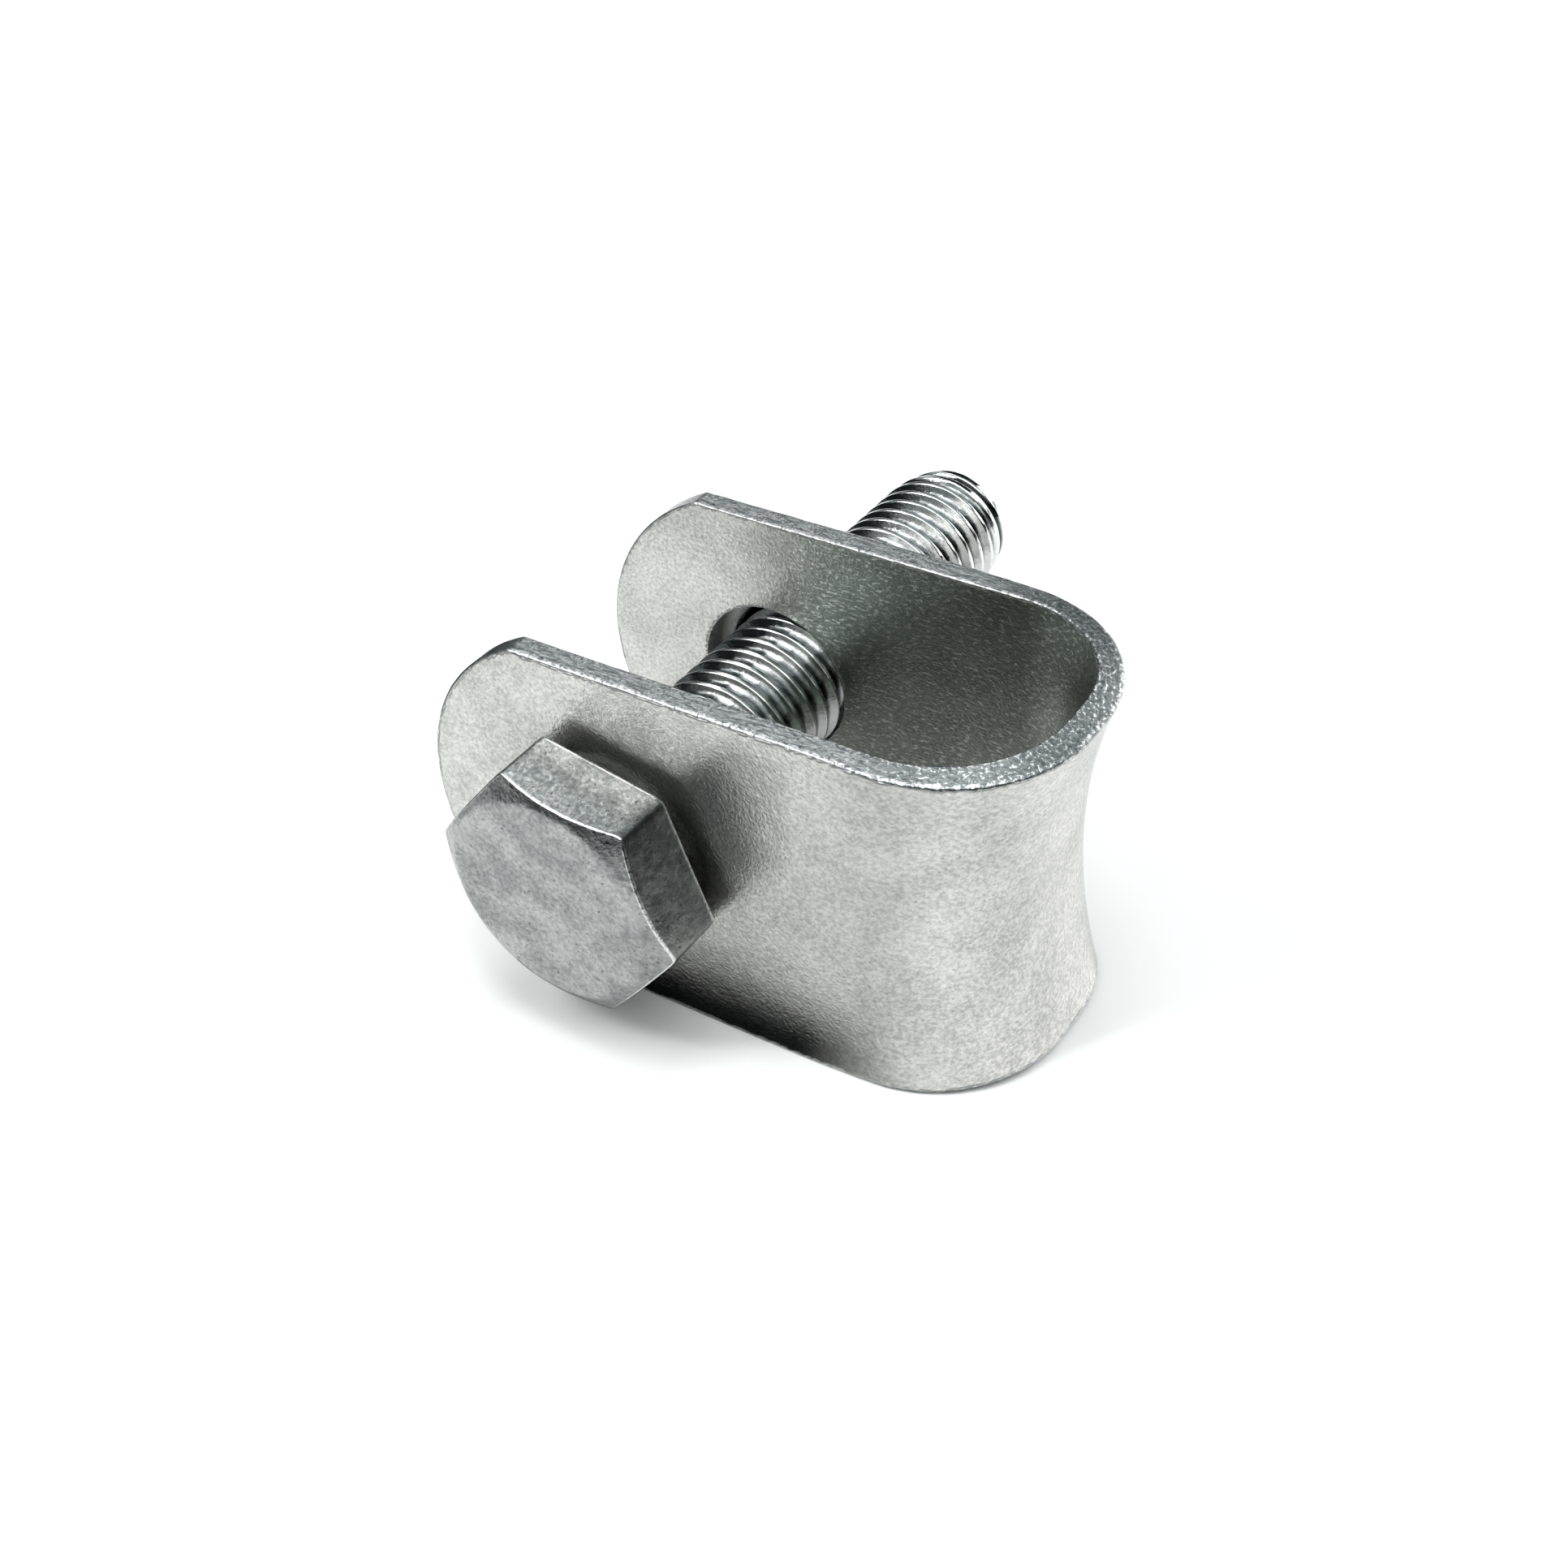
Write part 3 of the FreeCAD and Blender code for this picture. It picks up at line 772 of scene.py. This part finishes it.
def plated_sheared_edge(recipe, paints):
    """Cut edge of the strap: streaks along the cut, darker and with painted glints where the strip
    is bent, with bright rounded arrises."""
    where = recipe.millimetres()
    streaks = recipe.grain(recipe.millimetres((0.5, 2.6, 1.0)), 1.4, detail=5.0, roughness=0.7,
                           distortion=0.5)
    pits = recipe.grain(where, 3.0, detail=5.0, roughness=0.72, distortion=0.5)
    worn = recipe.spread(recipe.wear(), *WORN_SPAN)
    bent = recipe.spread(recipe.combine("ABSOLUTE", recipe.parts(where)["X"]), *BENT_SPAN)
    grooves = recipe.spread(streaks, 0.38, 0.54, 0.85, 0.0)
    colour = recipe.over(paints.sheared, paints.sheared_dull, grooves)
    colour = recipe.over(colour, paints.sheared_dull, bent, 0.85)
    colour = recipe.over(colour, paints.soot_and_painted_shade, recipe.spread(pits, 0.54, 0.64, 0.0, 0.7))
    colour = recipe.over(colour, paints.rubbed_and_painted_glint, worn, recipe.spread(pits, 0.52, 0.42))
    # Painted glints on the edge where the strip is bent
    colour = recipe.over(colour, paints.rubbed_and_painted_glint, bent, recipe.spread(pits, 0.45, 0.39))
    rough = recipe.over(recipe.spread(pits, 0.3, 0.7, 0.13, 0.24), ARRIS_ROUGHNESS, worn)
    return recipe.metal(colour, rough, (streaks, 0.04), (pits, 0.06))


def plated_forging(recipe, paints):
    """Zinc plate on the forged head and the nut: mottled grey with dark pits, worn bright on the
    arrises, matt on the back of the head, and painted shade where head and nut meet the strap."""
    where = recipe.millimetres()
    shade, mottle = recipe.mottled(where, 0.33, 2.6, share=0.5)
    wear = recipe.wear()
    worn = recipe.spread(wear, *WORN_SPAN)
    matt = recipe.spread(wear, 0.0, MATT)
    fine = recipe.grain(where, 5.0, detail=4.0, roughness=0.7)
    hammered = recipe.grain(where, 0.55, roughness=0.55)
    pits = recipe.grain(where, 3.2, detail=5.0, roughness=0.75, distortion=0.6)
    colour = recipe.over(paints.forged_dull, paints.forged, shade)
    colour = recipe.over(colour, paints.soot_and_painted_shade, recipe.spread(pits, 0.55, 0.66, 0.0, 0.75))
    colour = recipe.over(colour, paints.rubbed_and_painted_glint, worn, recipe.spread(pits, 0.36, 0.52))
    colour = recipe.over(colour, paints.sheet, matt)
    # Painted shade on the seat under the head and on the face of the nut against the strap
    colour = recipe.over(colour, paints.soot_and_painted_shade, recipe.spread(wear, MATT, PAINTED_SHADE))
    rough = recipe.over(recipe.spread(mottle, 0.0, 1.0, 0.24, 0.14), ARRIS_ROUGHNESS, worn)
    rough = recipe.over(rough, MATT_ROUGHNESS, matt)
    return recipe.metal(colour, rough, (hammered, 0.10), (mottle, 0.006), (pits, 0.022),
                        (fine, 0.010))


def plated_thread(recipe, paints):
    """Zinc plate on the rolled thread: bright crests, grooves darkened with painted shade, and fine
    marks.
    """
    where = recipe.millimetres()
    crest = recipe.spread(recipe.wear(), *WORN_SPAN)
    mottle = recipe.grain(where, 2.4, detail=4.0)
    fine = recipe.grain(where, 7.0)
    colour = recipe.over(paints.thread, paints.forged, recipe.spread(mottle, 0.45, 0.75, 0.0, 0.4))
    colour = recipe.over(colour, paints.soot_and_painted_shade, recipe.spread(mottle, 0.64, 0.74, 0.0, 0.5))
    # Painted shade darkening the grooves of the thread towards their roots
    colour = recipe.over(colour, paints.soot_and_painted_shade, recipe.spread(crest, 0.05, 0.55, 0.95, 0.0))
    rough = recipe.spread(mottle, 0.3, 0.7, 0.05, 0.13)
    return recipe.metal(colour, rough, (mottle, 0.022), (fine, 0.003))


def dark_felt(recipe, studio):
    """Dark felt of the walls and the card overhead."""
    nap = recipe.grain(recipe.metres(), 400.0, detail=4.0)
    return recipe.surface(Base_Color=recipe.over(studio.horizon, studio.felt, nap), Roughness=1.0)


def pale_paper(recipe, studio):
    """Pale paper of the floor, which has a faint grain."""
    fibres = recipe.spread(recipe.grain(recipe.metres(), 900.0, detail=4.0), 0.3, 0.7, 0.0, 0.02)
    shade = recipe.over(studio.floor, studio.fibres, fibres)
    return recipe.surface(Base_Color=shade, Roughness=0.9, Specular_IOR_Level=0.2)


def backdrop_paper(recipe, studio):
    """Paper that glows white, with a faint grain."""
    shade = recipe.over((1.0, 1.0, 1.0), (0.97, 0.97, 0.97), recipe.grain(recipe.metres(), 60.0))
    return recipe.surface(Emission_Color=shade, Emission_Strength=1.0, Roughness=1.0,
                          Base_Color=(0.0, 0.0, 0.0))


def material_of(make, settings):
    """Material of the function that makes it and gives its name, made only once."""
    name = make.__name__
    return bpy.data.materials.get(name) or make(Recipe(bpy.data.materials.new(name)), settings)


# Studio

PAPER_HALF = 3.0
BACKDROP_RADIUS = 0.36
BACKDROP_TOP = 0.8
CARD_LIFT = 0.05 * MM
# Walls from one azimuth to another, in degrees
DARK_WALLS = (("left_wall", -125.0, -60.0), ("right_wall", 28.0, 100.0))
# Card overhead and lights: azimuth and elevation in degrees, distance and size in metres,
# and for the lights their radiance
SKY_CARD = ("facet_shade", -12.0, 50.0, 0.6, (0.14, 0.2))
LIGHTS = (
    ("front_left", -46.0, 50.0, 0.8, (0.34, 0.40), 6.3),
    ("facet_key", -33.0, 50.0, 0.7, (0.055, 0.14), 32.0),
    ("front_right", 72.0, 60.0, 0.8, (0.4, 0.4), 4.4),
    ("overhead", 0.0, 89.0, 0.8, (0.36, 0.36), 6.8),
    ("back_right", 158.0, 14.0, 0.9, (0.5, 0.24), 6.5),
    ("back_left", 219.5, 37.0, 0.8, (0.19, 0.14), 2.2),
    ("head_glint", 214.5, 48.0, 0.8, (0.10, 0.10), 8.0),
)
# Cards on the floor, in millimetres: lowest and highest x and y, fades as an axis, where the
# card is clear and from where it covers, then its cover and glow
FLOOR_CARDS = (
    ("inside_shade", (-17, -10.9), (33, 10.9), (("X", -17, -11), ("X", 27, 21)), 0.3, 0.0),
    ("mouth_shade", (-110, -45), (-42, 40), (("X", -42, -54),), 1.0, 0.0),
    ("foot_shade", (-9, -22), (29, -13.1), (("Y", -22, -15.5), ("X", 29, 16)), 1.0, 0.0),
    ("front_shade", (-6, -60), (44, -21), (("X", -6, 10), ("X", 44, 30), ("Y", -60, -45)), 0.22, 0.0),
    ("saddle_shade", (42, -30), (70, 6), (("X", 42, 47), ("Y", -30, -20), ("Y", 6, -4)), 0.2, 0.0),
    ("saddle_glow", (33, -16), (44, 34), (("X", 44, 40), ("Y", -16, -8), ("Y", 34, 22)), 0.8, 1.5),
)


def aim(azimuth, elevation):
    """Direction from the part at an azimuth round from the front and an elevation."""
    level = math.cos(elevation)
    return Vector((math.sin(azimuth) * level, -math.cos(azimuth) * level, math.sin(elevation)))


def facing_part(azimuth, elevation, distance):
    """Matrix of a place round the part whose Z points away from it."""
    outward = aim(math.radians(azimuth), math.radians(elevation))
    return Matrix.Translation(outward * distance) @ outward.to_track_quat("Z", "Y").to_matrix().to_4x4()


def room_light(studio):
    """World that is dark at the horizon, bright in a band above it and dimmer overhead."""
    recipe = Recipe(bpy.data.worlds.new("room"), "Background")
    direction = recipe.node("ShaderNodeTexCoord").outputs["Generated"]
    ramp = recipe.node("ShaderNodeValToRGB", Fac=recipe.parts(direction)["Z"])
    stops = ((0.38, studio.horizon), (0.57, studio.band), (0.85, studio.band), (0.95, studio.overhead))
    elements = ramp.color_ramp.elements
    while len(elements) < len(stops):
        elements.new(0.5)
    for element, (position, colour) in zip(elements, stops):
        element.position = position
        element.color = (*colour, 1.0)
    world = recipe.surface(Color=ramp.outputs["Color"], Strength=studio.brightness)
    world.cycles.sampling_method = "NONE"
    bpy.context.scene.world = world


def lay_flat(low, high, level):
    """Corners of a level rectangle."""
    return [(x, y, level) for x, y in (low, (high[0], low[1]), high, (low[0], high[1]))]


def curved_wall(radius, top, start, end, segments):
    """Places and faces of a wall on the floor from one azimuth to another."""
    around = np.radians(np.linspace(start, end, segments + 1))
    places = [(radius * math.sin(a), -radius * math.cos(a), level)
              for level in (FLOOR_LEVEL, top) for a in around]
    return places, [(i, i + 1, segments + i + 2, segments + i + 1) for i in range(segments)]


def board(name, material, places, faces=((0, 1, 2, 3),)):
    """Object of a few flat faces."""
    mesh = bpy.data.meshes.new(name)
    mesh.from_pydata(places, [], faces)
    mesh.materials.append(material)
    return put(name, mesh)


def card(name, material, *shape):
    """Board that throws no shadow and that only the camera and reflections see."""
    made = board(name, material, *shape)
    for rays in ("diffuse", "transmission", "volume_scatter", "shadow"):
        setattr(made, "visible_" + rays, False)
    return made


def flag(name, material, *shape):
    """Card that is seen only in reflections."""
    card(name, material, *shape).visible_camera = False


def sky_flag(studio, name, azimuth, elevation, distance, size):
    """Dark card hung above the paper and turned to face the part."""
    place = facing_part(azimuth, elevation, distance)
    half = [side / 2 for side in size]
    corners = [place @ Vector(corner) for corner in lay_flat([-side for side in half], half, 0.0)]
    flag(name, material_of(dark_felt, studio), corners)


def floor_flag(studio, name, low, high, fades, cover, glow):
    """Card on the floor with clear edges, so that metal near the floor reflects a shadow
    there, or a glow."""
    recipe = Recipe(bpy.data.materials.new(name))
    parts = recipe.parts(recipe.metres())
    covered = cover
    for axis, clear, full in fades:
        share = recipe.spread(parts[axis], clear * MM, full * MM)
        covered = recipe.combine("MULTIPLY", covered, share)
    paper = recipe.surface(Alpha=covered, Base_Color=studio.shade, Roughness=1.0,
                           Specular_IOR_Level=0.0, Emission_Strength=glow)
    low, high = [[value * MM for value in corner] for corner in (low, high)]
    flag(name, paper, lay_flat(low, high, FLOOR_LEVEL + CARD_LIFT))


def softbox(name, azimuth, elevation, distance, size, radiance):
    """Rectangular light that faces the part, with the given radiance."""
    lamp = bpy.data.lights.new(name, "AREA")
    lamp.shape = "RECTANGLE"
    lamp.size, lamp.size_y = size
    lamp.energy = radiance * math.pi * size[0] * size[1]
    put(name, lamp).matrix_world = facing_part(azimuth, elevation, distance)


def paper_floor(studio):
    """Floor of pale paper."""
    corners = lay_flat((-PAPER_HALF, -PAPER_HALF), (PAPER_HALF, PAPER_HALF), FLOOR_LEVEL)
    floor = board("paper_floor", material_of(pale_paper, studio), corners)


def backdrop(studio):
    """Pale paper hung round the floor, seen only by the camera."""
    shape = curved_wall(BACKDROP_RADIUS, BACKDROP_TOP, 0.0, 360.0, 96)
    card("backdrop", material_of(backdrop_paper, studio), *shape).visible_glossy = False


def place_camera(studio):
    """Camera at the given azimuth and elevation round its target."""
    back = aim(studio.azimuth, studio.elevation)
    right = aim(studio.azimuth + math.pi / 2.0, 0.0)
    level = Matrix((right, back.cross(right), back)).transposed()
    turned = (level @ Matrix.Rotation(studio.roll, 3, "Z")).to_4x4()
    data = bpy.data.cameras.new("camera")
    data.sensor_width = 36.0
    data.lens = studio.lens
    data.clip_start = 0.01
    camera = put("camera", data)
    camera.matrix_world = Matrix.Translation(Vector(studio.target) + back * studio.distance) @ turned
    bpy.context.scene.camera = camera


# Operators

def finish_piece(shell, name, makes, node, body, place=Matrix()):
    """Make a piece that stands for its node of the model, whose imported part it hides, and that
    rides on its body."""
    paints = bpy.context.scene.clevis_finish
    piece = shell.make(name, [material_of(make, paints) for make in makes], place)
    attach(piece, body)
    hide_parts(node)
    return {"FINISHED"}


class CLEVIS_OT_strap(bpy.types.Operator):
    """Draw the strap: the saddle-shaped bend and the two legs with their holes"""
    bl_idname = "clevis.strap"
    bl_label = "Strap"

    def execute(self, context):
        sheet = Sheet(context.scene.clevis_strap)
        shell = Shell()
        add_saddle(shell, sheet)
        add_leg(shell, sheet, FRONT)
        add_leg(shell, sheet, BACK)
        return finish_piece(shell, "strap_sheet", (plated_sheet, plated_sheared_edge),
                            "clevis_strap", "strap")


class CLEVIS_OT_bolt(bpy.types.Operator):
    """Draw the bolt with its hexagon head and its thread"""
    bl_idname = "clevis.bolt"
    bl_label = "Bolt"

    def execute(self, context):
        sizes = context.scene.clevis_bolt
        head = sizes.seat_height + sizes.head_height
        angles = hexagon_angles(sizes.head_turn)
        shell = Shell()
        ring = add_thread(shell, angles, sizes, BOLT_REACH[1] - BOLT_REACH[0] - head)
        add_head(shell, angles, sizes, ring)
        return finish_piece(shell, "bolt_hex", (plated_forging, plated_thread),
                            "hex_bolt", "bolt", bolt_place(BOLT_REACH[0] + head))


class CLEVIS_OT_nut(bpy.types.Operator):
    """Draw the nut, whose thread runs in that of the bolt"""
    bl_idname = "clevis.nut"
    bl_label = "Nut"

    def execute(self, context):
        thread = context.scene.clevis_bolt
        from_seat = NUT_REACH[0] - BOLT_REACH[0] - thread.seat_height - thread.head_height
        shell = Shell()
        add_nut(shell, context.scene.clevis_nut, thread, from_seat)
        return finish_piece(shell, "nut_hex", (plated_forging, plated_thread),
                            "hex_nut", "nut", bolt_place(NUT_REACH[0]))


class CLEVIS_OT_studio(bpy.types.Operator):
    """Set up the floor, the backdrop, the dark walls and cards, the lights and the camera"""
    bl_idname = "clevis.studio"
    bl_label = "Studio"

    def execute(self, context):
        studio = context.scene.clevis_studio
        room_light(studio)
        paper_floor(studio)
        backdrop(studio)
        for name, start, end in DARK_WALLS:
            shape = curved_wall(studio.wall_radius, studio.wall_top, start, end, 32)
            flag(name, material_of(dark_felt, studio), *shape)
        sky_flag(studio, *SKY_CARD)
        for settings in FLOOR_CARDS:
            floor_flag(studio, *settings)
        for settings in LIGHTS:
            softbox(*settings)
        place_camera(studio)
        context.scene.view_settings.view_transform = "Standard"
        return {"FINISHED"}


OPERATORS = (CLEVIS_OT_strap, CLEVIS_OT_bolt, CLEVIS_OT_nut, CLEVIS_OT_studio)
SETTINGS = (("clevis_strap", StrapSizes), ("clevis_bolt", BoltSizes), ("clevis_nut", NutSizes),
            ("clevis_finish", Finish), ("clevis_studio", Studio))


class CLEVIS_PT_panel(bpy.types.Panel):
    """Sizes and operators of the bolted clevis"""
    bl_idname = "CLEVIS_PT_panel"
    bl_label = "Bolted clevis"
    bl_space_type = "VIEW_3D"
    bl_region_type = "UI"
    bl_category = "Clevis"

    def draw(self, context):
        layout = self.layout
        for operator in OPERATORS:
            layout.operator(operator.bl_idname)
        for name, group in SETTINGS:
            box = layout.box()
            for setting in group.__annotations__:
                box.prop(getattr(context.scene, name), setting)


def register():
    """Register the settings, the operators and the panel."""
    for name, group in SETTINGS:
        bpy.utils.register_class(group)
        setattr(bpy.types.Scene, name, bpy.props.PointerProperty(type=group))
    for operator in OPERATORS:
        bpy.utils.register_class(operator)
    bpy.utils.register_class(CLEVIS_PT_panel)


def unregister():
    """Undo what register does, in the other order."""
    bpy.utils.unregister_class(CLEVIS_PT_panel)
    for operator in reversed(OPERATORS):
        bpy.utils.unregister_class(operator)
    for name, group in reversed(SETTINGS):
        delattr(bpy.types.Scene, name)
        bpy.utils.unregister_class(group)


def main():
    """Build every piece and the studio."""
    register()
    bpy.ops.clevis.strap()
    bpy.ops.clevis.bolt()
    bpy.ops.clevis.nut()
    bpy.ops.clevis.studio()
    bpy.context.view_layer.update()


if __name__ == "__main__":
    main()
